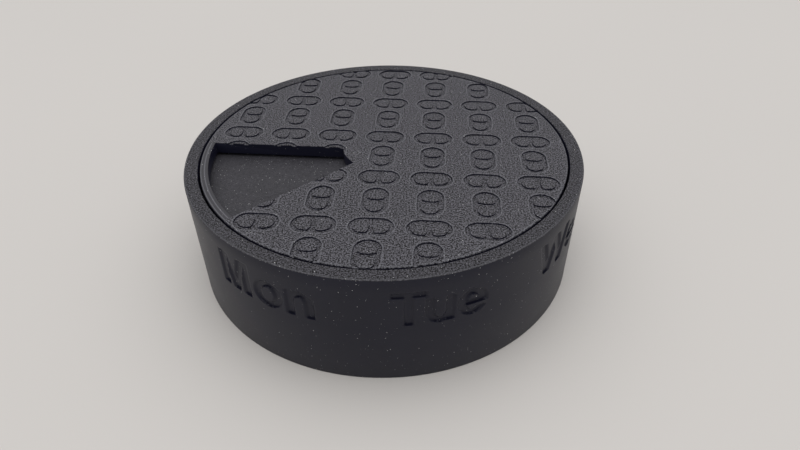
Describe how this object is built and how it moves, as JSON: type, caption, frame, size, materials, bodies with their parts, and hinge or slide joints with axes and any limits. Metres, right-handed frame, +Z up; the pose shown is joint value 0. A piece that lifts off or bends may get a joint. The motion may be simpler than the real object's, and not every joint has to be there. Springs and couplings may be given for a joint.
{
  "type": "rotating pill organizer",
  "caption": "Round week pill box: a cup with vanes makes equal bays, and a flush lid turns on a central screw to clear one bay at a time through a sector opening.",
  "frame": {"origin": "centre of the case's underside, on the table", "axes": "+Z up along the lid's turning axis; -Y towards the viewer of the picture; the first day faces front left"},
  "size_m": [0.1, 0.1, 0.03],
  "materials": {
    "case_print": "black glitter print, satin, fine layer lines",
    "lid_print": "black glitter print, satin, engraved capsules",
    "insert_print": "black glitter print, satin",
    "zinc_steel": "bright zinc plate",
    "spring_steel": "polished spring steel",
    "white_nylon": "natural nylon"
  },
  "bodies": {
    "case": {"outer_case": "case_print", "divider_insert": "insert_print", "blank_bay_block": "insert_print", "head_washer": "zinc_steel", "wave_washer": "spring_steel", "slide_washer": "white_nylon"},
    "lid": {"rotating_lid": "lid_print", "pivot_screw": "zinc_steel", "pivot_nut": "zinc_steel", "nut_lock_ring": "white_nylon"}
  },
  "joints": [
    {"name": "lid_turn", "type": "hinge", "parent": "case", "child": "lid", "pos_m": [0, 0, 0.028], "axis": [0, 0, 1], "continuous": true}
  ]
}
